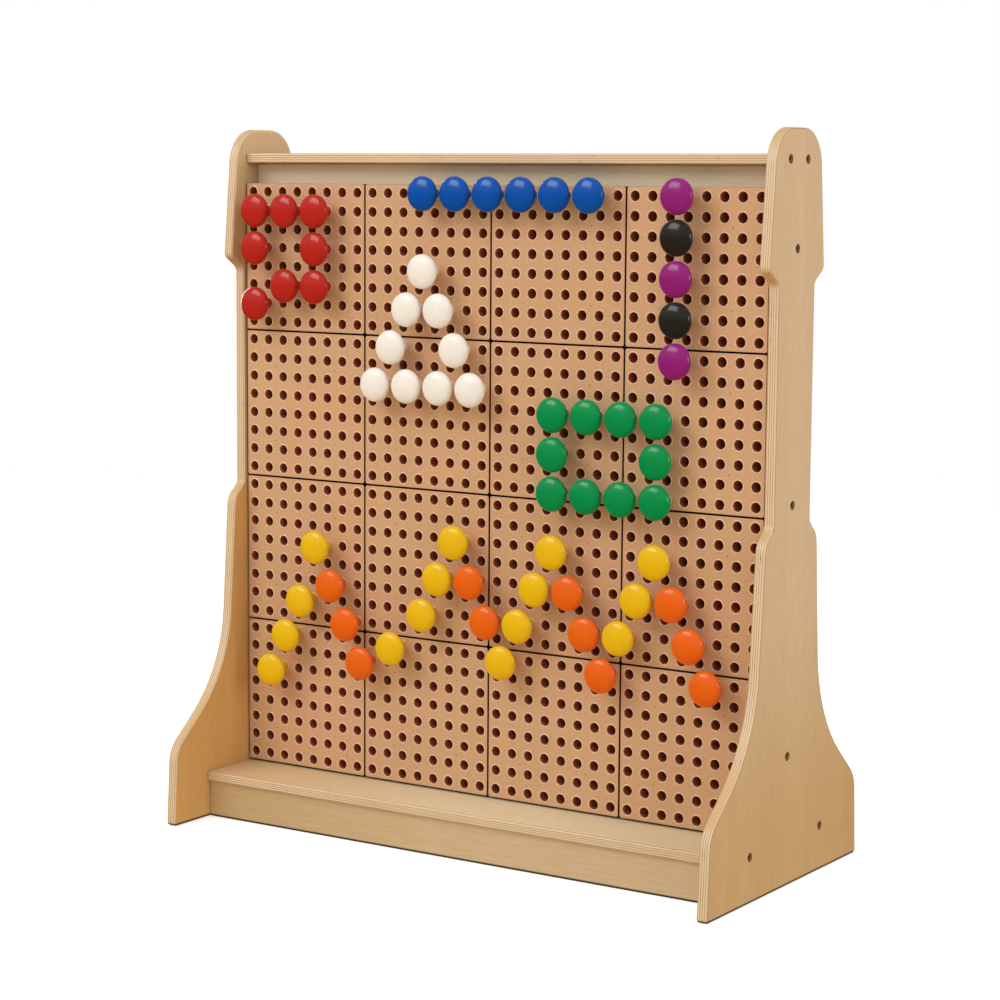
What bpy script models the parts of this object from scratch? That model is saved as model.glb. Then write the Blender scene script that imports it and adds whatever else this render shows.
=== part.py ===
"""Two-sided pegboard play stand: plywood frame, moulded hole tiles and mushroom pegs.

Metres, +Z up. The origin is on the floor, at the middle of the footprint. The front faces -Y.
"""

import math

import bpy
import bmesh
from mathutils import Matrix, Vector

# Driving dimensions
PITCH = 0.02875  # hole to hole
HOLES = 8  # holes along a tile's side
TILES = 4  # tiles along the board's side
TILE_DEPTH = 0.0302
PLY = 0.015
CORE_DEPTH = 0.0388
LOWEST_HOLE = 0.0891  # height of the bottom row of holes
SLIT = 0.0003  # gap kept between pieces that touch

BOARD = PITCH * HOLES * TILES
BOARD_BOTTOM = LOWEST_HOLE - PITCH / 2
BOARD_TOP = BOARD_BOTTOM + BOARD
FACE = CORE_DEPTH / 2 + SLIT + TILE_DEPTH  # from the mid plane to the tiles' faces
PANEL_PLY = 0.016
PANEL_INNER = 0.4617
PANEL_OUTER = PANEL_INNER + PANEL_PLY

TILE_GAP = 0.0024
TILE_CORNER = 0.0035
TILE_ARRIS = 0.0009
GROOVE_DEPTH = 0.0020
SOCKET_RADIUS = 0.00775
SOCKET_DEPTH = 0.0250

PEG_SIDES = 8
SHANK_RADIUS = 0.0071
SHANK_LENGTH = 0.0235
NECK_RADIUS = 0.0090
FLARE_RADIUS = 0.0098
HEAD_RADIUS = 0.0262
DOME_RADIUS = 0.0180
# A peg head's levels, measured out from the tiles' faces
FLARE_OUT = 0.0215
RIM_BACK_OUT = 0.0315
RIM_FRONT_OUT = 0.0375
DOME_OUT = 0.0417
CROWN_OUT = 0.0440
FIXED_DEPTH = 0.0030  # how far a peg that is one solid with its tile runs into it

WOOD_ARRIS = 0.0018
CAP_TOP = 1.0400
CAP_HALF_DEPTH = 0.0473
SHELF_TOP = 0.0727
SHELF_HALF_DEPTH = 0.1528
PLINTH_FACE = 0.1472
COUNTERBORE_RADIUS = 0.0064
COUNTERBORE_DEPTH = 0.0060
COUNTERBORE_SIDES = 10
OVERCUT = 0.0050  # how far a cutter reaches past the face it opens

# Half of a side panel's outline, from the top down: (half depth, height, corner radius)
PANEL_CORNERS = (
    (0.0665, 1.0765, 0.0540),
    (0.0845, 0.8800, 0.0120),
    (0.0555, 0.8615, 0.0135),
    (0.0560, 0.5225, 0.0135),
    (0.0800, 0.5010, 0.0260),
    (0.1000, 0.2300, 0.2250),
    (0.2265, 0.1200, 0.0475),
    (0.2335, 0.0000, 0.0060),
)
# Bolts in each side panel: (distance from the mid plane, height)
BOLTS = (
    (-0.0265, 1.0330),
    (0.0265, 1.0330),
    (0.0000, 0.9095),
    (0.0000, 0.5500),
    (0.0000, 0.1900),
    (-0.1090, 0.0665),
    (0.1090, 0.0665),
)

COLOURS = {
    "birch": (0.63, 0.45, 0.26),
    "tile": (0.52, 0.30, 0.16),
    "red": (0.60, 0.02, 0.015),
    "blue": (0.005, 0.09, 0.48),
    "white": (0.80, 0.78, 0.70),
    "purple": (0.24, 0.01, 0.18),
    "black": (0.02, 0.02, 0.022),
    "green": (0.005, 0.27, 0.10),
    "yellow": (0.85, 0.52, 0.01),
    "orange": (0.83, 0.15, 0.01),
}


def chevron(apex, left, right):
    """A roof of pegs: the apex and left leg yellow, the right leg orange, each a list of (column, row)."""
    return [("yellow", place) for place in [apex, *left]] + [("orange", place) for place in right]


def peg_places():
    """(colour, (column, row)) of every peg, counted in holes from the top left."""
    corner = ((1, 1), (3, 1), (5, 1), (1, 3), (5, 3), (3, 5), (5, 5), (1, 6))
    places = [("red", place) for place in corner]
    places += [("blue", (column, 0)) for column in range(12, 23, 2)]
    places += [("white", place) for place in ((12, 4), (11, 6), (13, 6), (10, 8), (14, 8))]
    places += [("white", (column, 10)) for column in range(9, 16, 2)]
    places += [("purple" if row % 4 == 0 else "black", (27, row)) for row in range(0, 9, 2)]
    places += [("green", (column, row)) for row in (11, 15) for column in range(20, 27, 2)]
    places += [("green", (column, 13)) for column in (20, 26)]
    places += chevron((5, 19), [(4, 22), (3, 24), (2, 26)], [(6, 21), (7, 23), (8, 25)])
    places += chevron((14, 18), [(13, 20), (12, 22), (10, 24)], [(15, 20), (16, 22)])
    places += chevron((20, 18), [(19, 20), (18, 22), (17, 24)], [(21, 20), (22, 22), (23, 24)])
    places += chevron((26, 18), [(25, 20), (24, 22)], [(27, 20), (28, 22), (29, 24)])
    return places


# Tiles, as (row, column), whose pegs slide out; the other tiles' pegs are one solid with their tile
LOOSE_PEG_TILES = ((0, 0), (0, 1), (0, 2), (0, 3), (1, 2), (1, 3), (2, 0))
# The hole of each tile that is left free as a real socket: (column, row) within the tile
FREE_HOLES = {(0, 0): (7, 3), (1, 1): (1, 6), (0, 3): (6, 5), (1, 3): (6, 5)}
USUAL_FREE_HOLE = (3, 3)
REAR_FREE_HOLES = (11, 19)  # columns and rows of the rear board's real sockets


def clear_scene():
    for obj in list(bpy.data.objects):
        bpy.data.objects.remove(obj, do_unlink=True)


def plastic(name, roughness):
    material = bpy.data.materials.new(name)
    material.use_nodes = True
    shader = material.node_tree.nodes["Principled BSDF"]
    shader.inputs["Base Color"].default_value = (*COLOURS[name], 1.0)
    shader.inputs["Roughness"].default_value = roughness
    shader.inputs["Metallic"].default_value = 0.0
    return material


def finished(name, bm, material, smooth=False):
    """An object of a bmesh, with its normals facing out and its material."""
    bmesh.ops.recalc_face_normals(bm, faces=bm.faces)
    mesh = bpy.data.meshes.new(name)
    bm.to_mesh(mesh)
    bm.free()
    if smooth:
        mesh.shade_smooth()
        mesh.set_sharp_from_angle(angle=math.radians(50))
    obj = bpy.data.objects.new(name, mesh)
    bpy.context.scene.collection.objects.link(obj)
    if material:
        mesh.materials.append(material)
    return obj


def cutter(name, bm):
    obj = finished(name, bm, None)
    obj.hide_render = True
    obj.display_type = "WIRE"
    return obj


def boolean(obj, other, operation):
    modifier = obj.modifiers.new(other.name, "BOOLEAN")
    modifier.operation = operation
    modifier.object = other


def rounded_outline(corners, steps_for):
    """Points of a closed polygon whose corners, (a, b, radius), are arcs of steps_for(radius, turn) steps."""
    points = []
    for index, (a, b, radius) in enumerate(corners):
        here = Vector((a, b))
        back = (Vector(corners[index - 1][:2]) - here).normalized()
        ahead = (Vector(corners[(index + 1) % len(corners)][:2]) - here).normalized()
        opening = back.angle(ahead)
        turn = math.pi - opening
        centre = here + (back + ahead).normalized() * radius / math.sin(opening / 2)
        start = here + back * radius / math.tan(opening / 2) - centre
        side = 1 if back.x * ahead.y - back.y * ahead.x < 0 else -1
        steps = steps_for(radius, turn)
        for step in range(steps + 1):
            angle = side * turn * step / steps
            cosine, sine = math.cos(angle), math.sin(angle)
            spoke = Vector((start.x * cosine - start.y * sine, start.x * sine + start.y * cosine))
            points.append(centre + spoke)
    return points


def plate(outline, thickness, normal_axis, arris):
    """A slab of an outline, (a, b) points, standing on the plane through the origin across normal_axis.

    Across X the points are (y, z), and across Y they are (x, z). Both faces' edges are chamfered by arris.
    """
    bm = bmesh.new()
    if normal_axis == "X":
        verts = [bm.verts.new((0, a, b)) for a, b in outline]
        rise = Vector((thickness, 0, 0))
    else:
        verts = [bm.verts.new((a, 0, b)) for a, b in outline]
        rise = Vector((0, thickness, 0))
    face = bm.faces.new(verts)
    made = bmesh.ops.extrude_face_region(bm, geom=[face], use_keep_orig=True)
    lifted = [item for item in made["geom"] if isinstance(item, bmesh.types.BMVert)]
    bmesh.ops.translate(bm, verts=lifted, vec=rise)
    bmesh.ops.recalc_face_normals(bm, faces=bm.faces)
    rims = [edge for edge in bm.edges if any(len(side.verts) == len(outline) for side in edge.link_faces)]
    bmesh.ops.bevel(bm, geom=rims, offset=arris, segments=1, profile=0.5, affect="EDGES")
    return bm


def box(low, high, arris):
    """A box between two corners, its edges chamfered by arris."""
    low, high = Vector(low), Vector(high)
    bm = bmesh.new()
    size = high - low
    place = Matrix.Translation((low + high) / 2) @ Matrix.Diagonal((*size, 1))
    bmesh.ops.create_cube(bm, size=1, matrix=place)
    if arris:
        bmesh.ops.bevel(bm, geom=list(bm.edges), offset=arris, segments=1, profile=0.5, affect="EDGES")
    return bm


def pour(source, target):
    """Moves one bmesh's geometry into another."""
    scratch = bpy.data.meshes.new("scratch")
    source.to_mesh(scratch)
    source.free()
    target.from_mesh(scratch)
    bpy.data.meshes.remove(scratch)


def add_turned(bm, profile, centre, sides):
    """Adds a closed turned solid to bm. profile holds (radius, y) from one pole to the other, about +Y."""
    turned = bmesh.new()
    verts = [turned.verts.new((radius, y, 0)) for radius, y in profile]
    edges = [turned.edges.new(pair) for pair in zip(verts, verts[1:])]
    bmesh.ops.rotate(turned, verts=verts, cent=(0, 0, 0), matrix=Matrix.Rotation(math.pi / sides, 3, "Y"))
    bmesh.ops.spin(
        turned, geom=verts + edges, cent=(0, 0, 0), axis=(0, 1, 0), dvec=(0, 0, 0),
        angle=2 * math.pi, steps=sides, use_merge=True,
    )
    bmesh.ops.remove_doubles(turned, verts=turned.verts, dist=1e-6)
    bmesh.ops.recalc_face_normals(turned, faces=turned.faces)
    bmesh.ops.translate(turned, verts=turned.verts, vec=centre)
    pour(turned, bm)


def peg_profile(inner_end):
    """Head and neck along +Y from the dome's crown, then inner_end; y is 0 at the board's face."""
    dome = [(0, -CROWN_OUT), (DOME_RADIUS, -DOME_OUT), (HEAD_RADIUS, -RIM_FRONT_OUT)]
    underside = [(HEAD_RADIUS, -RIM_BACK_OUT), (FLARE_RADIUS, -FLARE_OUT)]
    return dome + underside + inner_end


LOOSE_END = [
    (NECK_RADIUS, -SLIT),
    (SHANK_RADIUS, -SLIT),
    (SHANK_RADIUS, SHANK_LENGTH),
    (0, SHANK_LENGTH),
]
FIXED_END = [(NECK_RADIUS, FIXED_DEPTH), (0, FIXED_DEPTH)]
SOCKET = [(0, -OVERCUT), (SOCKET_RADIUS, -OVERCUT), (SOCKET_RADIUS, SOCKET_DEPTH), (0, SOCKET_DEPTH)]


def hole_centre(column, row):
    """The centre of a front hole on the tiles' face."""
    middle = (HOLES * TILES - 1) / 2
    return Vector(((column - middle) * PITCH, -FACE, LOWEST_HOLE + (HOLES * TILES - 1 - row) * PITCH))


def tile_of(place):
    """The (row, column) of the tile that holds the hole (column, row)."""
    return place[1] // HOLES, place[0] // HOLES


def add_side_panels(material):
    def steps(radius, turn):
        return max(2, round(3.5 * turn + 12 * radius))

    half = list(PANEL_CORNERS)
    mirrored = [(-a, b, radius) for a, b, radius in reversed(half)]
    outline = rounded_outline(half + mirrored, steps)
    for name, outward in (("left_side_panel", -1), ("right_side_panel", 1)):
        bm = plate(outline, outward * PANEL_PLY, "X", WOOD_ARRIS)
        bmesh.ops.translate(bm, verts=bm.verts, vec=(outward * PANEL_INNER, 0, 0))
        panel = finished(name, bm, material)
        sinks = bmesh.new()
        for y, z in BOLTS:
            sink = bmesh.new()
            place = Matrix.Translation((outward * PANEL_OUTER, y, z)) @ Matrix.Rotation(math.pi / 2, 4, "Y")
            bmesh.ops.create_cone(
                sink, cap_ends=True, segments=COUNTERBORE_SIDES, depth=2 * COUNTERBORE_DEPTH,
                radius1=COUNTERBORE_RADIUS, radius2=COUNTERBORE_RADIUS, matrix=place,
            )
            pour(sink, sinks)
        boolean(panel, cutter(name + "_counterbores", sinks), "DIFFERENCE")


def add_frame_boards(material):
    side = PANEL_INNER - SLIT
    core_half = CORE_DEPTH / 2
    cap_bottom = CAP_TOP - PLY
    plinth_top = SHELF_TOP - PLY - SLIT
    boards = (
        ("top_cap", (-side, -CAP_HALF_DEPTH, cap_bottom), (side, CAP_HALF_DEPTH, CAP_TOP)),
        ("core_panel", (-side, -core_half, SHELF_TOP + SLIT), (side, core_half, cap_bottom - SLIT)),
        ("bottom_shelf", (-side, -SHELF_HALF_DEPTH, SHELF_TOP - PLY), (side, SHELF_HALF_DEPTH, SHELF_TOP)),
        ("front_plinth", (-side, -PLINTH_FACE, 0), (side, PLY - PLINTH_FACE, plinth_top)),
        ("rear_plinth", (-side, PLINTH_FACE - PLY, 0), (side, PLINTH_FACE, plinth_top)),
    )
    for name, low, high in boards:
        finished(name, box(low, high, WOOD_ARRIS), material)


def tile_outline(left, bottom, right, top):
    corners = [(x, z, TILE_CORNER) for x, z in ((left, bottom), (left, top), (right, top), (right, bottom))]
    return rounded_outline(corners, lambda radius, turn: 2)


def add_front_tiles(material, places):
    side = PITCH * HOLES
    for row in range(TILES):
        for column in range(TILES):
            name = f"tile_r{row + 1}_c{column + 1}"
            left = column * side - BOARD / 2 + TILE_GAP / 2
            bottom = BOARD_TOP - (row + 1) * side + TILE_GAP / 2
            outline = tile_outline(left, bottom, left + side - TILE_GAP, bottom + side - TILE_GAP)
            bm = plate(outline, TILE_DEPTH, "Y", TILE_ARRIS)
            bmesh.ops.translate(bm, verts=bm.verts, vec=(0, -FACE, 0))
            tile = finished(name, bm, material)
            here = [place for _, place in places if tile_of(place) == (row, column)]
            free = FREE_HOLES.get((row, column), USUAL_FREE_HOLE)
            free = (column * HOLES + free[0], row * HOLES + free[1])
            loose = (row, column) in LOOSE_PEG_TILES
            sockets = bmesh.new()
            for place in [free] + (here if loose else []):
                add_turned(sockets, SOCKET, hole_centre(*place), PEG_SIDES)
            boolean(tile, cutter(name + "_sockets", sockets), "DIFFERENCE")
            if here and not loose:
                pegs = bmesh.new()
                for place in here:
                    add_turned(pegs, peg_profile(FIXED_END), hole_centre(*place), PEG_SIDES)
                boolean(tile, cutter(name + "_fixed_pegs", pegs), "UNION")


def add_rear_board(material):
    """The 16 rear tiles as one plate, with a groove along each seam and a real socket in each quarter."""
    half = BOARD / 2 - TILE_GAP / 2
    corners = tile_outline(-half, BOARD_BOTTOM + TILE_GAP / 2, half, BOARD_TOP - TILE_GAP / 2)
    bm = plate(corners, TILE_DEPTH, "Y", TILE_ARRIS)
    bmesh.ops.translate(bm, verts=bm.verts, vec=(0, CORE_DEPTH / 2 + SLIT, 0))
    rear = finished("rear_board", bm, material)
    upright, level = bmesh.new(), bmesh.new()
    floor, air = FACE - GROOVE_DEPTH, FACE + OVERCUT
    foot, head = BOARD_BOTTOM - OVERCUT, BOARD_TOP + OVERCUT
    for seam in range(1, TILES):
        across = seam * PITCH * HOLES - BOARD / 2
        height = seam * PITCH * HOLES + BOARD_BOTTOM
        pour(box((across - TILE_GAP / 2, floor, foot), (across + TILE_GAP / 2, air, head), 0), upright)
        pour(box((-BOARD, floor, height - TILE_GAP / 2), (BOARD, air, height + TILE_GAP / 2), 0), level)
    boolean(rear, cutter("rear_board_upright_grooves", upright), "DIFFERENCE")
    boolean(rear, cutter("rear_board_level_grooves", level), "DIFFERENCE")
    sockets = bmesh.new()
    inward = [(radius, -y) for radius, y in SOCKET]
    for column in REAR_FREE_HOLES:
        for row in REAR_FREE_HOLES:
            centre = hole_centre(column, row)
            centre.y = FACE
            add_turned(sockets, inward, centre, PEG_SIDES)
    boolean(rear, cutter("rear_board_sockets", sockets), "DIFFERENCE")


def add_loose_pegs(materials, places):
    """Each loose peg is its own object on its sliding axis, sharing one mesh with the pegs of its colour."""
    numbers, meshes = {}, {}
    for colour, (column, row) in places:
        if tile_of((column, row)) not in LOOSE_PEG_TILES:
            continue
        numbers[colour] = numbers.get(colour, 0) + 1
        name = f"peg_{colour}_{numbers[colour]}"
        if colour not in meshes:
            bm = bmesh.new()
            add_turned(bm, peg_profile(LOOSE_END), (0, 0, 0), PEG_SIDES)
            peg = finished(name, bm, materials[colour], smooth=True)
            meshes[colour] = peg.data
        else:
            peg = bpy.data.objects.new(name, meshes[colour])
            bpy.context.scene.collection.objects.link(peg)
        peg.location = hole_centre(column, row)


clear_scene()
materials = {name: plastic(name, 0.15) for name in COLOURS}
wood = materials["birch"]
places = peg_places()
add_side_panels(wood)
add_frame_boards(wood)
add_front_tiles(materials["tile"], places)
add_rear_board(materials["tile"])
add_loose_pegs(materials, places)
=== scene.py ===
import math
import random

import bmesh
import bpy
from mathutils import Matrix, Quaternion, Vector


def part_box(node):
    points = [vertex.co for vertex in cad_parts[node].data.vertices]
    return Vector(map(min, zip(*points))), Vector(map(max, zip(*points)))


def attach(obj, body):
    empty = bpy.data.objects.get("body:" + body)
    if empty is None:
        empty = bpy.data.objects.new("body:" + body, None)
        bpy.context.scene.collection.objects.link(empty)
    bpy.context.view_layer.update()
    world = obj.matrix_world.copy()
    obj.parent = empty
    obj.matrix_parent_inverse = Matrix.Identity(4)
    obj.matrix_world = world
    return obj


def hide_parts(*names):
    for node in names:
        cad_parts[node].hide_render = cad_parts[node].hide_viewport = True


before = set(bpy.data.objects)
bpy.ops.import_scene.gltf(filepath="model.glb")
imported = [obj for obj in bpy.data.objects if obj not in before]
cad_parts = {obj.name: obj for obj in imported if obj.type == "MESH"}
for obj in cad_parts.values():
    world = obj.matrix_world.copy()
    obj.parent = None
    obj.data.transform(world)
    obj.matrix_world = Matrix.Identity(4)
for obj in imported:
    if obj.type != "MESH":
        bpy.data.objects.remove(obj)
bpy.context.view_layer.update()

print("frame loaded:", len(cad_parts), "nodes")

# sizes taken from the frame

boardLow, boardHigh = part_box("rear_board")
tileLow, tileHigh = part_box("tile_r1_c1")
tileSize = tileHigh.x - tileLow.x
tilesAcross = 4
holesPerTile = 8
holesAcross = tilesAcross * holesPerTile
pitch = (boardHigh.x - boardLow.x - tileSize) / (holesAcross - holesPerTile)
boardFace = boardHigh.y  # from the mid plane to the tiles' faces, front and rear alike
tileDepth = boardHigh.y - boardLow.y
boardMiddle = (boardLow.z + boardHigh.z) / 2


def holeCentre(column, row):
    # columns run left to right and rows run downwards, both from 0
    middle = (holesAcross - 1) / 2
    return Vector(((column - middle) * pitch, -boardFace, boardMiddle + (middle - row) * pitch))


# shader tools: a socket that takes part in sums, and a material built with it


class Wire:
    # one output socket; plain sums on it add Math nodes

    def __init__(self, nodes, socket):
        self.nodes = nodes
        self.socket = socket

    def maths(self, operation, *values):
        return self.nodes.node("Math", {"operation": operation}, dict(enumerate(values)))

    def __add__(self, other):
        return self.maths("ADD", self, other)

    def __sub__(self, other):
        return self.maths("SUBTRACT", self, other)

    def __mul__(self, other):
        return self.maths("MULTIPLY", self, other)

    def __truediv__(self, other):
        return self.maths("DIVIDE", self, other)

    def size(self):
        return self.maths("ABSOLUTE", self)

    def fraction(self):
        return self.maths("FRACT", self)

    def sine(self):
        return self.maths("SINE", self)

    def ramp(self, low, high, toLow=0.0, toHigh=1.0):
        # a smooth step from low to high
        settings = {"interpolation_type": "SMOOTHSTEP"}
        return self.nodes.node("MapRange", settings, {0: self, 1: low, 2: high, 3: toLow, 4: toHigh})


class Nodes:
    # makes and links the nodes of one tree

    def __init__(self, tree):
        self.tree = tree

    def plug(self, socket, value):
        if isinstance(value, Wire):
            self.tree.links.new(value.socket, socket)
        elif isinstance(value, (tuple, list)) and socket.type == "RGBA":
            socket.default_value = (*value[:3], 1.0)
        else:
            socket.default_value = value

    def node(self, kind, settings=None, sockets=None, out=0):
        made = self.tree.nodes.new("ShaderNode" + kind)
        for key, value in (settings or {}).items():
            setattr(made, key, value)
        for key, value in (sockets or {}).items():
            self.plug(made.inputs[key], value)
        return Wire(self, made.outputs[out])

    def mix(self, factor, first, second, blend="MIX"):
        settings = {"data_type": "RGBA", "blend_type": blend}
        return self.node("Mix", settings, {0: factor, 6: first, 7: second}, out=2)

    def place(self, stretch=(1, 1, 1), shift=(0, 0, 0)):
        # object coordinates, scaled and moved
        here = self.node("TexCoord", out="Object")
        return self.node("Mapping", {}, {"Vector": here, "Location": shift, "Scale": stretch})

    def level(self, place, axis):
        # one coordinate of a position or direction
        return self.node("SeparateXYZ", {}, {0: place}, out="XYZ".index(axis))

    def noise(self, place, scale, detail=2.0, roughness=0.5, distortion=0.0):
        sockets = {"Vector": place, "Scale": scale, "Detail": detail}
        sockets.update({"Roughness": roughness, "Distortion": distortion})
        return self.node("TexNoise", {}, sockets)


class Finish(Nodes):
    # one material, built on its Principled shader

    def __init__(self, name, **fixed):
        self.material = bpy.data.materials.new(name)
        self.material.use_nodes = True
        super().__init__(self.material.node_tree)
        self.shader = self.tree.nodes["Principled BSDF"]
        for key, value in fixed.items():
            self.shader.inputs[key.replace("_", " ")].default_value = value

    def feed(self, **wires):
        for key, value in wires.items():
            self.plug(self.shader.inputs[key.replace("_", " ")], value)

    def bump(self, height, strength, distance):
        sockets = {"Height": height, "Strength": strength, "Distance": distance}
        self.feed(Normal=self.node("Bump", {}, sockets))


# birch plywood


birch = {
    # each veneer: its pale and deep tones, the tint it drifts to, and the axis and levels of that drift.
    # The drift is painted shade and warm bounce light: darker and warmer towards the floor on the side
    # panels and towards the left end on the shelf and plinth, and none on the cap and core. The inner
    # veneer's warmer tones are painted warm bounce light on the panels' inner faces, and the shelf's
    # paler tones are painted light, lighter than the other boards
    "veneers": {
        "outer": ((0.690, 0.525, 0.342), (0.555, 0.382, 0.208), (0.90, 0.80, 0.60), "Z", (0.45, 0.05)),
        "inner": ((0.745, 0.556, 0.346), (0.599, 0.402, 0.211), (0.94, 0.77, 0.46), "Z", (1.25, 0.55)),
        "cap": ((0.690, 0.525, 0.342), (0.545, 0.375, 0.205), (1.00, 1.00, 1.00), "X", (0.00, -0.42)),
        "plinth": ((0.656, 0.500, 0.304), (0.518, 0.356, 0.182), (0.88, 0.84, 0.73), "X", (0.05, -0.42)),
        "shelf": ((0.824, 0.698, 0.462), (0.670, 0.509, 0.284), (0.90, 0.79, 0.67), "X", (0.05, -0.42)),
        "core": ((0.850, 0.710, 0.490), (0.730, 0.585, 0.395), (1.00, 1.00, 1.00), "X", (0.00, -0.42)),
    },
    "fleck": (0.380, 0.220, 0.095),
    "longGrain": (0.740, 0.580, 0.380),
    "longDeep": (0.690, 0.525, 0.342),
    "crossGrain": (0.360, 0.205, 0.090),
    # end grain of the long plies, deepened as painted warm shade
    "crossPale": (0.545, 0.375, 0.200),
    "endGrainShade": (0.560, 0.330, 0.125),
    "void": (0.150, 0.070, 0.030),
    # painted shade: the counterbore walls, darker brown as if in shadow
    "bore": (0.240, 0.115, 0.042),
    "boreLight": (0.400, 0.220, 0.095),
    "foot": (0.045, 0.022, 0.011),  # painted contact shade: a near-black band where a board stands on the floor
    "footHeight": 0.0048,
    "plies": 9,
    "roughness": 0.42,
}


def paintedContactShade(finish, spot, colour):
    # painted contact shade: darkens the last few millimetres above the floor, where a board meets the
    # floor in shadow
    dark = birch["footHeight"] * 0.45
    return finish.mix(finish.level(spot, "Z").ramp(dark, birch["footHeight"]), birch["foot"], colour)


def birchFace(name, grain, shift, veneer):
    # rotary-cut veneer under satin varnish: faint flame figure, streaks and short flecks along the grain
    finish = Finish(name, IOR=1.45, Coat_Weight=0.10, Coat_Roughness=0.25)
    along = {"X": (0.06, 1, 1), "Z": (1, 1, 0.06)}[grain]
    place = finish.place(along, shift)
    broad = finish.noise(place, 5.0, 3.0, 0.55, 0.6)
    figure = (broad * 46.0).sine() * 0.5 + 0.5
    streaks = finish.noise(place, 270.0, 5.0, 0.72)
    fine = finish.noise(place, 520.0, 3.0, 0.7)
    pores = finish.noise(finish.place(tuple(16 * (a if a < 1 else 1.6) for a in along), shift), 30.0, 2.0)
    tone = broad.ramp(0.30, 0.72) * 0.30 + figure * 0.06
    tone = tone + streaks.ramp(0.32, 0.70) * 0.34 + fine.ramp(0.35, 0.65) * 0.20
    pale, deep, paintedShadeColour, axis, drift = birch["veneers"][veneer]
    colour = finish.mix(tone, pale, deep)
    # painted shade and warm bounce light, drifting along the veneer's axis
    level = finish.level(finish.place(), axis)
    paintedShadeMix = finish.mix(level.ramp(*drift), (1.0, 1.0, 1.0), paintedShadeColour)
    colour = finish.mix(1.0, colour, paintedShadeMix, "MULTIPLY")
    flecks = pores.ramp(0.66, 0.80) * 0.5
    colour = finish.mix(flecks, colour, birch["fleck"])
    # painted contact shade at the foot of the board
    colour = paintedContactShade(finish, finish.place(), colour)
    finish.feed(Base_Color=colour, Roughness=streaks * 0.14 + (birch["roughness"] - 0.07))
    finish.bump(streaks * 0.5 - flecks, 0.25, 0.0002)
    return finish.material


def birchEdge(name, through, start, thickness, mirrored=False):
    # the stack of plies: pale long grain and browner cross grain by turns, with voids here and there
    finish = Finish(name, IOR=1.45, Coat_Weight=0.06, Coat_Roughness=0.3)
    spot = finish.place()
    depth = finish.level(spot, through)
    if mirrored:
        depth = depth.size()
    waver = finish.noise(spot, 14.0, 2.0) - 0.5
    layer = (depth - start) / thickness * birch["plies"] + waver * 0.22
    phase = (layer * 0.5).fraction()
    cross = (phase - 0.5).size().ramp(0.21, 0.13)  # 1 in the middle of each pair: the cross-grain plies
    fibres = finish.noise(spot, 420.0, 3.0, 0.6)
    blotch = finish.noise(spot, 22.0, 3.0)
    longPly = finish.mix(fibres.ramp(0.3, 0.7), birch["longGrain"], birch["longDeep"])
    crossPly = finish.mix(fibres.ramp(0.35, 0.9), birch["crossGrain"], birch["crossPale"])
    colour = finish.mix(cross * (blotch * 0.6 + 0.5), longPly, crossPly)
    # where a side panel's edge faces up or down it turns warmer and darker: partly the long plies showing
    # their ends across the grain, partly painted warm shade under the panel's shoulders
    if through == "X":
        normal = finish.node("NewGeometry", out="Normal")
        upright = finish.level(normal, "Z").size().ramp(0.25, 0.85)
        colour = finish.mix(upright * 0.62, colour, birch["endGrainShade"])
    gaps = finish.noise(finish.place((3, 3, 3)), 34.0, 1.0).ramp(0.70, 0.76) * cross
    colour = finish.mix(gaps * 0.8, colour, birch["void"])
    # painted contact shade at the foot of the board
    colour = paintedContactShade(finish, spot, colour)
    finish.feed(Base_Color=colour, Roughness=fibres * 0.2 + 0.38)
    finish.bump(fibres * 0.6 + cross * 0.25 - gaps, 0.35, 0.0002)
    return finish.material


def boreShadeSkin():
    # end grain inside the counterbores, coloured dark brown as painted shade in the recess
    finish = Finish("boreShadeSkin", IOR=1.4, Specular_IOR_Level=0.2)
    fibres = finish.noise(finish.place(), 600.0, 3.0, 0.6)
    colour = finish.mix(fibres, birch["bore"], birch["boreLight"])
    finish.feed(Base_Color=colour, Roughness=fibres * 0.2 + 0.6)
    finish.bump(fibres, 0.3, 0.0002)
    return finish.material


# moulded plastic


tilePlastic = {
    "colour": (0.655, 0.382, 0.208),
    "darker": (0.560, 0.312, 0.162),
    # painted highlight on the lips round the holes
    "edge": (0.830, 0.580, 0.390),
    # painted shade: the shade and seam tones are dark plastic standing in for the shadow deep in the
    # holes and down the seams between the tiles
    "shade": (0.290, 0.080, 0.028),
    "shadeLight": (0.500, 0.175, 0.068),
    "seam": (0.028, 0.009, 0.005),
    "seamLight": (0.060, 0.022, 0.011),
    "roughness": 0.44,
}


def tileSkin():
    # tan plastic with a fine spark-eroded grain and slow drifts in tone
    finish = Finish("tileSkin", IOR=1.49)
    spot = finish.place()
    tone = finish.node("Attribute", {"attribute_name": "tone"}, out="Fac")
    drift = finish.noise(spot, 9.0, 3.0, 0.6)
    grain = finish.noise(spot, 900.0, 2.0, 0.55)
    coarse = finish.noise(spot, 300.0, 2.0, 0.6)
    amount = drift.ramp(0.3, 0.7) * 0.32 + tone * 0.28 + coarse.ramp(0.38, 0.64) * 0.40
    colour = finish.mix(amount, tilePlastic["colour"], tilePlastic["darker"])
    roughness = coarse * 0.16 + (tilePlastic["roughness"] - 0.08)
    finish.feed(Base_Color=colour, Roughness=roughness)
    finish.bump(grain * 0.6 + coarse * 0.4, 0.30, 0.0003)
    return finish.material


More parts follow.
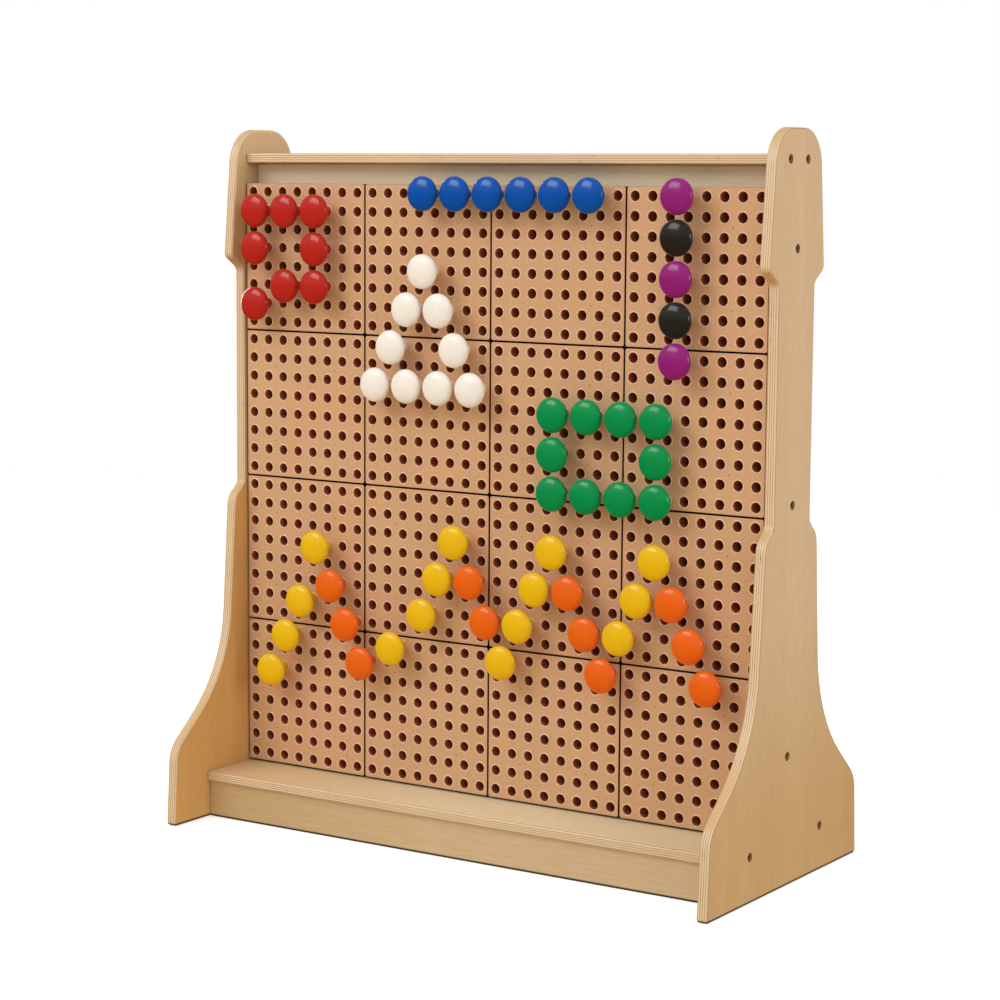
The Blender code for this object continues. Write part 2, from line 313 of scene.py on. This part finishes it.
def rimHighlightSkin():
    # painted highlight: the raised lip round each hole, paler than the field
    finish = Finish("rimHighlightSkin", IOR=1.49)
    highlightBreakup = finish.noise(finish.place(), 260.0, 2.0)
    colour = finish.mix(highlightBreakup.ramp(0.3, 0.75), tilePlastic["edge"], tilePlastic["colour"])
    finish.feed(Base_Color=colour, Roughness=highlightBreakup * 0.12 + 0.30)
    finish.bump(highlightBreakup, 0.08, 0.0002)
    return finish.material


def shadeSkin(name, dark, light):
    # plastic out of the light: deep in the holes, and down the seams between tiles
    finish = Finish(name, IOR=1.4, Specular_IOR_Level=0.15)
    mottle = finish.noise(finish.place(), 310.0, 3.0, 0.6)
    colour = finish.mix(mottle.ramp(0.35, 0.7), dark, light)
    finish.feed(Base_Color=colour, Roughness=mottle * 0.2 + 0.6)
    finish.bump(mottle, 0.2, 0.0004)
    return finish.material


pegColours = {
    "red": (0.440, 0.018, 0.011),
    "blue": (0.001, 0.076, 0.385),
    "white": (0.850, 0.815, 0.755),
    "purple": (0.262, 0.013, 0.178),
    "black": (0.020, 0.017, 0.014),
    "green": (0.001, 0.262, 0.068),
    "yellow": (0.770, 0.470, 0.005),
    "orange": (0.770, 0.124, 0.005),
}


def pegSkin(name, colour):
    # polished plastic: slow flow marks in the colour, fine handling haze in the gloss
    finish = Finish(name, IOR=1.46, Specular_IOR_Level=0.38, Coat_Weight=0.06, Coat_Roughness=0.05)
    spot = finish.place()
    flow = finish.noise(spot, 38.0, 3.0, 0.5, 0.8)
    haze = finish.noise(spot, 210.0, 4.0, 0.65)
    scuffs = finish.noise(finish.place((1, 1, 9), (3, 1, 2)), 160.0, 2.0)
    deeper = tuple(part * 0.94 for part in colour)
    finish.feed(Base_Color=finish.mix(flow.ramp(0.3, 0.7), colour, deeper))
    finish.feed(Roughness=haze * 0.10 + scuffs.ramp(0.62, 0.75) * 0.07 + 0.13)
    finish.bump(flow * 0.3 + haze * 0.06, 0.08, 0.0006)
    return finish.material


# mesh tools


def meshFrom(name, bm, materials, sharpAngle=40, flatSlots=()):
    # smooth except in the flat slots and at sharp edges
    bmesh.ops.recalc_face_normals(bm, faces=bm.faces)
    mesh = bpy.data.meshes.new(name)
    bm.to_mesh(mesh)
    bm.free()
    for material in materials:
        mesh.materials.append(material)
    mesh.shade_smooth()
    mesh.set_sharp_from_angle(angle=math.radians(sharpAngle))
    for polygon in mesh.polygons:
        polygon.use_smooth = polygon.material_index not in flatSlots
    return mesh


def addObject(name, data):
    made = bpy.data.objects.new(name, data)
    bpy.context.scene.collection.objects.link(made)
    return made


def bridgeRings(bm, rings, slots=None):
    # quads between neighbouring closed rings of the same number of vertices
    for index, (lower, upper) in enumerate(zip(rings, rings[1:])):
        count = len(lower)
        for step in range(count):
            after = (step + 1) % count
            face = bm.faces.new((lower[step], lower[after], upper[after], upper[step]))
            face.material_index = slots[index] if slots else 0


def loopEdges(bm, ring):
    pairs = zip(ring, ring[1:] + ring[:1])
    return [bm.edges.get(pair) or bm.edges.new(pair) for pair in pairs]


def fillBetween(bm, rings, slot=0):
    # one flat face bounded by the first ring, with the others as holes in it
    edges = [edge for ring in rings for edge in loopEdges(bm, ring)]
    made = bmesh.ops.triangle_fill(bm, use_beauty=True, use_dissolve=False, edges=edges)
    for item in made["geom"]:
        if isinstance(item, bmesh.types.BMFace):
            item.material_index = slot


def circle(steps, radius):
    turns = (2 * math.pi * step / steps for step in range(steps))
    return [(radius * math.cos(turn), radius * math.sin(turn)) for turn in turns]


def roundedOutline(corners, stepDegrees):
    # points and outward normals along a polygon whose corners, (a, b, radius), are arcs
    points = []
    area = sum(a[0] * b[1] - b[0] * a[1] for a, b in zip(corners, corners[1:] + corners[:1]))
    for index, (a, b, radius) in enumerate(corners):
        here = Vector((a, b))
        back = (Vector(corners[index - 1][:2]) - here).normalized()
        ahead = (Vector(corners[(index + 1) % len(corners)][:2]) - here).normalized()
        opening = back.angle(ahead)
        turn = math.pi - opening
        centre = here + (back + ahead).normalized() * radius / math.sin(opening / 2)
        start = (here + back * radius / math.tan(opening / 2) - centre).normalized()
        side = 1 if back.x * ahead.y - back.y * ahead.x < 0 else -1
        bulge = 1 if side * area > 0 else -1  # -1 on an inward bend
        steps = max(2, math.ceil(math.degrees(turn) / stepDegrees))
        for step in range(steps + 1):
            spoke = Matrix.Rotation(side * turn * step / steps, 2) @ start
            points.append((centre + spoke * radius, spoke * bulge))
    return points


# side panels

panelShape = {
    # half of the outline, from the top down: half depth, height, corner radius
    "corners": (
        (0.0665, 1.0765, 0.0540),
        (0.0845, 0.8800, 0.0120),
        (0.0555, 0.8615, 0.0135),
        (0.0560, 0.5225, 0.0135),
        (0.0800, 0.5010, 0.0260),
        (0.1000, 0.2300, 0.2250),
        (0.2265, 0.1200, 0.0475),
        (0.2335, 0.0000, 0.0060),
    ),
    # bolts: from the mid plane, height
    "bolts": (
        (-0.0265, 1.0330),
        (0.0265, 1.0330),
        (0.0000, 0.9095),
        (0.0000, 0.5500),
        (0.0000, 0.1900),
        (-0.1090, 0.0665),
        (0.1090, 0.0665),
    ),
    "arris": 0.0024,
    "arrisSteps": 4,
    "boreRadius": 0.0064,
    "boreDepth": 0.0058,
    "boreArris": 0.0005,
    "boreSteps": 28,
    "cornerStepDegrees": 5,
}


def sidePanel(node, outward):
    shape = panelShape
    low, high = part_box(node)
    inner, outer = (low.x, high.x) if outward > 0 else (high.x, low.x)
    half = list(shape["corners"])
    mirrored = [(-a, b, r) for a, b, r in reversed(half)]
    outline = roundedOutline(half + mirrored, shape["cornerStepDegrees"])
    bm = bmesh.new()

    def ring(x, inset):
        return [bm.verts.new((x, *(point - normal * inset))) for point, normal in outline]

    rings = []
    for plane, sign in ((inner, outward), (outer, -outward)):
        turns = [math.pi / 2 * step / shape["arrisSteps"] for step in range(shape["arrisSteps"] + 1)]
        if plane == outer:
            turns.reverse()
        for turn in turns:
            inset = shape["arris"] * (1 - math.sin(turn))
            rings.append(ring(plane + sign * shape["arris"] * (1 - math.cos(turn)), inset))
    bridgeRings(bm, rings, [1] * (len(rings) - 1))
    lip, radius = shape["boreArris"], shape["boreRadius"]
    boreProfile = [(radius + lip, 0), (radius + lip * 0.3, lip * 0.3), (radius, lip)]
    boreProfile.append((radius, shape["boreDepth"]))
    bores = []
    for y, z in shape["bolts"]:
        wall = []
        for reach, depth in boreProfile:
            spots = circle(shape["boreSteps"], reach)
            wall.append([bm.verts.new((outer - outward * depth, y + a, z + b)) for a, b in spots])
        bridgeRings(bm, wall, [3] * (len(wall) - 1))
        bm.faces.new(wall[-1]).material_index = 3
        bores.append(wall[0])
    fillBetween(bm, [rings[0]], 2)
    fillBetween(bm, [rings[-1]] + bores)
    shift = (0.3 * outward, 0.2, 0.1)
    materials = [
        birchFace(node + "Face", "Z", shift, "outer"),
        birchEdge(node + "Edge", "X", min(abs(inner), abs(outer)), high.x - low.x, mirrored=True),
        birchFace(node + "InnerFace", "Z", shift, "inner"),
        # painted shade in the counterbores
        paintedBoreShade,
    ]
    piece = addObject(node + "_ply", meshFrom(node + "_ply", bm, materials, flatSlots=(0, 2)))
    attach(piece, "root")
    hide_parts(node)


paintedBoreShade = boreShadeSkin()
sidePanel("left_side_panel", -1)
sidePanel("right_side_panel", 1)
print("side panels made")

# level and upright boards

boardShape = {
    "arris": 0.0022,
    "arrisSteps": 3,
    "flatness": 0.98,  # a face whose normal is nearer an axis than this is flat, not part of an arris
    # node: (axis through the plies, axis of the face grain, veneer)
    "boards": {
        "top_cap": ("Z", "X", "cap"),
        "core_panel": ("Y", "X", "core"),
        "bottom_shelf": ("Z", "X", "shelf"),
        "front_plinth": ("Y", "X", "plinth"),
        "rear_plinth": ("Y", "X", "plinth"),
    },
}


def frameBoard(node, through, grain, veneer, number):
    low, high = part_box(node)
    bm = bmesh.new()
    place = Matrix.Translation((low + high) / 2) @ Matrix.Diagonal((*(high - low), 1))
    bmesh.ops.create_cube(bm, size=1, matrix=place)
    bmesh.ops.bevel(
        bm, geom=list(bm.edges), offset=boardShape["arris"], segments=boardShape["arrisSteps"],
        profile=0.5, affect="EDGES",
    )
    bm.normal_update()
    axis = "XYZ".index(through)
    for face in bm.faces:
        flat = max(abs(part) for part in face.normal) > boardShape["flatness"]
        broad = abs(face.normal[axis]) > boardShape["flatness"]
        face.material_index = 0 if broad else 1 if flat else 2
    start, thickness = low[axis], high[axis] - low[axis]
    face = birchFace(node + "Face", grain, (0.7 * number, 0.4, 0.9 * number), veneer)
    edge = birchEdge(node + "Edge", through, start, thickness)
    piece = addObject(node + "_ply", meshFrom(node + "_ply", bm, [face, edge, edge], flatSlots=(0, 1)))
    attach(piece, "root")
    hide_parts(node)


for number, (node, (through, grain, veneer)) in enumerate(boardShape["boards"].items(), 1):
    frameBoard(node, through, grain, veneer, number)
print("boards made")

# tiles

tileShape = {
    "corner": 0.0035,
    "cornerStepDegrees": 15,
    "arris": 0.0009,
    "holeSteps": 20,
    "holeRadius": 0.00775,
    "lipReach": 0.0018,  # how far the raised lip spreads from the hole's edge
    "lipHeight": 0.0005,
    # across the lip, from its foot to the hole: shares of its reach and of its height
    "lipProfile": ((1, 0), (0.82, 0.35), (0.55, 1), (0.22, 0.85), (0, 0.1)),
    "seamDepth": 0.0003,  # a short band down the tile's sides; it takes the painted seam shade, as the rest of the sides do
    "wallDepth": 0.0016,  # the mouth's wall in the pale lip colour, a painted highlight, before the painted shade of the socket
    "socketDepth": 0.0262,
    "socketTaper": 0.985,
    "markRadius": 0.0070,  # ejector marks
    "markGroove": 0.0006,
    "markSteps": 24,
    "markSpots": (0.5, 6.5),
    "pinRadius": 0.0010,  # gate marks
    "pinDepth": 0.0012,
    "pinSteps": 10,
    "pinSpots": (1.5, 5.5),
}


def tileMesh(name, materials):
    # local frame: face centre at the origin, -Y out of the face, rows running down
    shape = tileShape
    half = tileSize / 2
    corners = [(-half, -half), (half, -half), (half, half), (-half, half)]
    corners = [(a, b, shape["corner"]) for a, b in corners]
    outline = roundedOutline(corners, shape["cornerStepDegrees"])
    bm = bmesh.new()

    def spread(spots, middle, y):
        return [bm.verts.new((middle[0] + a, y, middle[1] + b)) for a, b in spots]

    def cell(column, row):
        across = (holesPerTile - 1) / 2
        return ((column - across) * pitch, (across - row) * pitch)

    rim = []
    for turn in (0, 0.5, 1):
        angle = turn * math.pi / 2
        inset = shape["arris"] * (1 - math.sin(angle))
        y = shape["arris"] * (1 - math.cos(angle))
        rim.append([bm.verts.new((p.x - n.x * inset, y, p.y - n.y * inset)) for p, n in outline])
    for y in (shape["arris"] + shape["seamDepth"], tileDepth):
        rim.append([bm.verts.new((p.x, y, p.y)) for p, n in outline])
    # the arris's outer half and the tile's sides take the painted seam shade
    bridgeRings(bm, rim, [0, 3, 3, 3])
    bm.faces.new(rim[-1])
    mouths = []
    radius, reach, height = shape["holeRadius"], shape["lipReach"], shape["lipHeight"]
    lip = [(radius + reach * out, -height * rise) for out, rise in shape["lipProfile"]]
    lip += [(radius, shape["wallDepth"]), (radius * shape["socketTaper"], shape["socketDepth"])]
    # the lip and the mouth's wall take the painted highlight, the socket the painted shade
    slots = [1, 1, 1, 1, 1, 2]
    for column in range(holesPerTile):
        for row in range(holesPerTile):
            rings = [spread(circle(shape["holeSteps"], r), cell(column, row), y) for r, y in lip]
            bridgeRings(bm, rings, slots)
            bm.faces.new(rings[-1]).material_index = 2
            mouths.append(rings[0])
    for column in shape["markSpots"]:
        for row in shape["markSpots"]:
            outer, groove = shape["markRadius"], shape["markGroove"]
            profile = ((outer, 0), (outer - groove, groove), (outer - 2 * groove, 0))
            rings = [spread(circle(shape["markSteps"], r), cell(column, row), y) for r, y in profile]
            # the inner slope of each groove takes the pale lip colour, a painted highlight
            bridgeRings(bm, rings, [0, 1])
            bm.faces.new(rings[-1])
            mouths.append(rings[0])
    for column in shape["pinSpots"]:
        for row in shape["pinSpots"]:
            profile = ((shape["pinRadius"], 0), (shape["pinRadius"] * 0.8, shape["pinDepth"]))
            rings = [spread(circle(shape["pinSteps"], r), cell(column, row), y) for r, y in profile]
            # the gate pits take the painted socket shade
            bridgeRings(bm, rings, [2])
            bm.faces.new(rings[-1]).material_index = 2
            mouths.append(rings[0])
    fillBetween(bm, [rim[0]] + mouths)
    return meshFrom(name, bm, materials, sharpAngle=20)


def addTile(name, mesh, column, row, nodes, rear, draw):
    mesh = mesh.copy()
    mesh.name = name
    tone = mesh.attributes.new("tone", "FLOAT", "POINT")
    tone.data.foreach_set("value", [draw.random()] * len(mesh.vertices))
    piece = addObject(name, mesh)
    middle = (tilesAcross - 1) / 2
    side = pitch * holesPerTile
    x, z = (column - middle) * side, boardMiddle + (middle - row) * side
    piece.location = (-x, boardFace, z) if rear else (x, -boardFace, z)
    piece.rotation_euler.z = math.pi if rear else 0
    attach(piece, "root")
    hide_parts(*nodes)


draw = random.Random(7)
tileMaterials = [
    tileSkin(),
    rimHighlightSkin(),
    shadeSkin("socketSkin", tilePlastic["shade"], tilePlastic["shadeLight"]),
    shadeSkin("seamSkin", tilePlastic["seam"], tilePlastic["seamLight"]),
]
sharedTile = tileMesh("holeTile", tileMaterials)
for row in range(tilesAcross):
    for column in range(tilesAcross):
        place = f"r{row + 1}_c{column + 1}"
        addTile("frontTile_" + place, sharedTile, column, row, ["tile_" + place], False, draw)
        addTile("rearTile_" + place, sharedTile, column, row, ["rear_board"], True, draw)
print("tiles made:", len(sharedTile.polygons), "faces each")

# pegs

pegShape = {
    "steps": 36,
    # radius, distance in front of the board's face; negative is inside the hole
    "profile": (
        (0.0000, 0.0440),
        (0.0050, 0.0438),
        (0.0100, 0.0432),
        (0.0150, 0.0422),
        (0.0190, 0.0409),
        (0.0220, 0.0395),
        (0.0240, 0.0380),
        (0.0254, 0.0361),
        (0.0260, 0.0341),
        (0.0260, 0.0322),
        (0.0254, 0.0311),
        (0.0240, 0.0304),
        (0.0200, 0.0285),
        (0.0150, 0.0254),
        (0.0112, 0.0222),
        (0.0096, 0.0190),
        (0.0090, 0.0150),
        (0.0088, 0.0060),
        (0.0086, 0.0016),
        (0.0078, 0.0006),
        (0.0070, 0.0006),
        (0.0069, -0.0210),
        (0.0060, -0.0232),
        (0.0000, -0.0235),
    ),
}


def pegMesh(name, material):
    bm = bmesh.new()
    rings = []
    profile = pegShape["profile"]
    for radius, out in profile[1:-1]:
        rings.append([bm.verts.new((a, -out, b)) for a, b in circle(pegShape["steps"], radius)])
    bridgeRings(bm, rings)
    for ring, (radius, out) in ((rings[0], profile[0]), (rings[-1], profile[-1])):
        pole = bm.verts.new((0, -out, 0))
        for here, after in zip(ring, ring[1:] + ring[:1]):
            bm.faces.new((here, after, pole))
    return meshFrom(name, bm, [material], sharpAngle=60)


def roof(apex, left, right):
    # the apex and left leg in yellow, the right leg in orange
    return [("yellow", spot) for spot in [apex, *left]] + [("orange", spot) for spot in right]


def pegSpots():
    # colour and (column, row) of every peg
    spots = [("red", spot) for spot in ((1, 1), (3, 1), (5, 1), (1, 3), (5, 3), (3, 5), (5, 5), (1, 6))]
    spots += [("blue", (column, 0)) for column in range(12, 23, 2)]
    spots += [("white", spot) for spot in ((12, 4), (11, 6), (13, 6), (10, 8), (14, 8))]
    spots += [("white", (column, 10)) for column in range(9, 16, 2)]
    spots += [("purple" if row % 4 == 0 else "black", (27, row)) for row in range(0, 9, 2)]
    spots += [("green", (column, row)) for row in (11, 15) for column in range(20, 27, 2)]
    spots += [("green", (column, 13)) for column in (20, 26)]
    spots += roof((5, 19), [(4, 22), (3, 24), (2, 26)], [(6, 21), (7, 23), (8, 25)])
    spots += roof((14, 18), [(13, 20), (12, 22), (10, 24)], [(15, 20), (16, 22)])
    spots += roof((20, 18), [(19, 20), (18, 22), (17, 24)], [(21, 20), (22, 22), (23, 24)])
    spots += roof((26, 18), [(25, 20), (24, 22)], [(27, 20), (28, 22), (29, 24)])
    return spots


def spotOf(node):
    low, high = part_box(node)
    middle = (holesAcross - 1) / 2
    return (
        round((low.x + high.x) / 2 / pitch + middle),
        round(middle - ((low.z + high.z) / 2 - boardMiddle) / pitch),
    )


loosePegs = {spotOf(node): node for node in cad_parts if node.startswith("peg_")}
pegMeshes = {}
for name, colour in pegColours.items():
    pegMeshes[name] = pegMesh(name + "Peg", pegSkin(name + "Gloss", colour))
for colour, spot in pegSpots():
    column, row = spot
    piece = addObject(f"{colour}Peg_c{column}_r{row}", pegMeshes[colour].copy())
    piece.location = holeCentre(column, row)
    piece.rotation_euler.y = draw.uniform(0, 2 * math.pi)
    node = loosePegs.get(spot) or f"tile_r{row // holesPerTile + 1}_c{column // holesPerTile + 1}"
    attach(piece, node if spot in loosePegs else "root")
    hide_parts(node)
    colour + "_peg"
print("pegs made:", len(pegSpots()), "of which loose:", len(loosePegs))

# bolts

boltShape = {
    "steel": (0.62, 0.60, 0.57),
    "steelDull": (0.44, 0.43, 0.41),
    # painted shade: the hex recess is coloured near black, standing in for the shadow inside it
    "recess": (0.012, 0.011, 0.010),
    "recessLight": (0.045, 0.042, 0.040),
    "steps": 36,
    "headRadius": 0.0052,
    "headHeight": 0.0026,
    "footTaper": 0.97,  # the head's underside against its widest ring
    "domeShare": 0.8,  # how much of the head's height is dome
    "domeSpread": 2.6,  # 2 would round the dome right in to its middle
    "domeTurns": (0.0, 0.25, 0.5, 0.75),
    "keyAcross": 0.0062,  # across the flats of the hex recess
    "keyFlare": 1.08,
    "keyChamfer": 0.0001,
    "keyDepth": 0.0030,
    "sunk": 0.0028,  # from the panel's face to the head's crown
}


def boltSkin():
    # zinc-plated steel, turned and lightly brushed
    finish = Finish("boltSkin", Metallic=1.0)
    spot = finish.place()
    streaks = finish.noise(spot, 700.0, 3.0, 0.6)
    colour = finish.mix(streaks, boltShape["steel"], boltShape["steelDull"])
    finish.feed(Base_Color=colour, Roughness=streaks * 0.2 + 0.24)
    finish.bump(streaks, 0.1, 0.0001)
    return finish.material


def boltHead(name, y, z, node, outward, materials):
    # a button head, turned, with a hex recess
    shape = boltShape
    low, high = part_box(node)
    face = high.x if outward > 0 else low.x
    bm = bmesh.new()

    def ring(radius, depth, hexagon=False):
        spots = []
        for step in range(shape["steps"]):
            turn = 2 * math.pi * step / shape["steps"]
            reach = radius
            if hexagon:
                reach = radius / math.cos((turn + math.pi / 6) % (math.pi / 3) - math.pi / 6)
            spots.append((reach * math.cos(turn), reach * math.sin(turn)))
        x = face - outward * (shape["sunk"] + depth)
        return [bm.verts.new((x, y + a, z + b)) for a, b in spots]

    radius, height, key = shape["headRadius"], shape["headHeight"], shape["keyAcross"] / 2
    rings = [ring(radius * shape["footTaper"], height)]
    for turn in shape["domeTurns"]:
        fall = shape["domeShare"] - shape["domeShare"] * math.sin(turn * math.pi / 2)
        rings.append(ring(radius * math.cos(turn * math.pi / shape["domeSpread"]), height * fall))
    rings.append(ring(key * shape["keyFlare"], 0, True))
    rings.append(ring(key, shape["keyChamfer"], True))
    rings.append(ring(key, shape["keyDepth"], True))
    bridgeRings(bm, rings, [0] * (len(rings) - 2) + [1])
    bm.faces.new(rings[0])
    bm.faces.new(rings[-1]).material_index = 1
    piece = addObject(name, meshFrom(name, bm, materials, sharpAngle=35))
    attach(piece, "root")


# the second material is painted shade in the hex recess
boltMaterials = [boltSkin(), shadeSkin("recessShadeSkin", boltShape["recess"], boltShape["recessLight"])]
for node, outward in (("left_side_panel", -1), ("right_side_panel", 1)):
    for number, (y, z) in enumerate(panelShape["bolts"], 1):
        boltHead(f"{node.split('_')[0]}Bolt_{number}", y, z, node, outward, boltMaterials)
print("bolts made")

# floor, light and camera

studio = {
    "floorPale": (0.90, 0.90, 0.90),
    "floorSpeck": (0.88, 0.88, 0.875),
    "floorGap": 0.0005,  # keeps the floor just clear of the feet
    "floorRadius": 6.0,
    "floorFade": (1.2, 4.5),
    "floorGlow": 0.45,
    # what the sky gives to matt surfaces and to reflections, and the rise over which it changes
    "skyAbove": (0.95, 0.95, 0.95),
    "skyBelow": (0.78, 0.58, 0.38),
    "skyRise": (-0.35, 0.45),
    "gleamAbove": (0.32, 0.32, 0.32),
    "gleamBelow": (0.02, 0.012, 0.008),
    "gleamRise": (-0.02, 0.22),
    "target": (0.0, 0.0, 0.60),
    # place, size and power of each softbox
    "softboxes": {
        "overheadSoftbox": ((-1.6, -3.0, 3.2), (2.4, 1.8), 64),
        "rimSoftbox": ((-2.7, 1.0, 1.3), (0.6, 1.7), 34),
        "sideSoftbox": ((3.8, -0.6, 1.5), (1.4, 1.4), 28),
    },
}


def studioFloor():
    bm = bmesh.new()
    bmesh.ops.create_circle(bm, cap_ends=True, segments=96, radius=studio["floorRadius"])
    glow = {"Emission_Color": (1.0, 1.0, 1.0, 1.0), "Emission_Strength": studio["floorGlow"]}
    finish = Finish("floorPale", Roughness=0.9, Specular_IOR_Level=0.1, **glow)
    spot = finish.place()
    distance = finish.node("VectorMath", {"operation": "LENGTH"}, {0: spot}, out="Value")
    speckle = finish.noise(spot, 60.0, 3.0)
    finish.feed(Base_Color=finish.mix(speckle, studio["floorPale"], studio["floorSpeck"]))
    finish.feed(Alpha=distance.ramp(*studio["floorFade"], 1.0, 0.0))
    floor = addObject("studioFloor", meshFrom("studioFloor", bm, [finish.material]))
    floor.location.z = -studio["floorGap"]
    # the floor is only looked at: the sky below lights the object
    floor.visible_diffuse = False
    floor.visible_glossy = False
    floor.visible_shadow = False


def softbox(name, place, size, power):
    light = bpy.data.lights.new(name, "AREA")
    light.shape = "RECTANGLE"
    light.size, light.size_y = size
    light.energy = power
    lamp = addObject(name, light)
    lamp.location = place
    aim = Vector(studio["target"]) - Vector(place)
    lamp.rotation_mode = "QUATERNION"
    lamp.rotation_quaternion = aim.to_track_quat("-Z", "Y")


def studioSky():
    # white to look at; where it lights the object it is bright above, dim and warm below
    world = bpy.data.worlds.new("studioSky")
    world.use_nodes = True
    sky = Nodes(world.node_tree)
    rise = sky.level(sky.node("TexCoord", out="Generated"), "Z")
    soft = sky.mix(rise.ramp(*studio["skyRise"]), studio["skyBelow"], studio["skyAbove"])
    gleam = sky.mix(rise.ramp(*studio["gleamRise"]), studio["gleamBelow"], studio["gleamAbove"])
    colour = sky.mix(sky.node("LightPath", out="Is Glossy Ray"), soft, gleam)
    colour = sky.mix(sky.node("LightPath", out="Is Camera Ray"), colour, (1.0, 1.0, 1.0))
    sky.plug(sky.tree.nodes["Background"].inputs["Color"], colour)
    bpy.context.scene.world = world


studioFloor()
for name, (place, size, power) in studio["softboxes"].items():
    softbox(name, place, size, power)
studioSky()

cameraView = {
    "place": (2.0988, -3.2355, 1.0051),
    "lookAt": (0.0189, -0.0499, 0.5289),
    "rollDegrees": 0.39,
    "lens": 92.79,
}


def addCamera():
    data = bpy.data.cameras.new("studioCamera")
    data.sensor_width = 36.0
    data.lens = cameraView["lens"]
    camera = addObject("studioCamera", data)
    place = Vector(cameraView["place"])
    camera.location = place
    camera.rotation_mode = "QUATERNION"
    aim = (Vector(cameraView["lookAt"]) - place).to_track_quat("-Z", "Y")
    roll = Quaternion((0, 0, 1), math.radians(cameraView["rollDegrees"]))
    camera.rotation_quaternion = aim @ roll
    bpy.context.scene.camera = camera


addCamera()
bpy.context.scene.view_settings.view_transform = "Standard"
print("studio made")
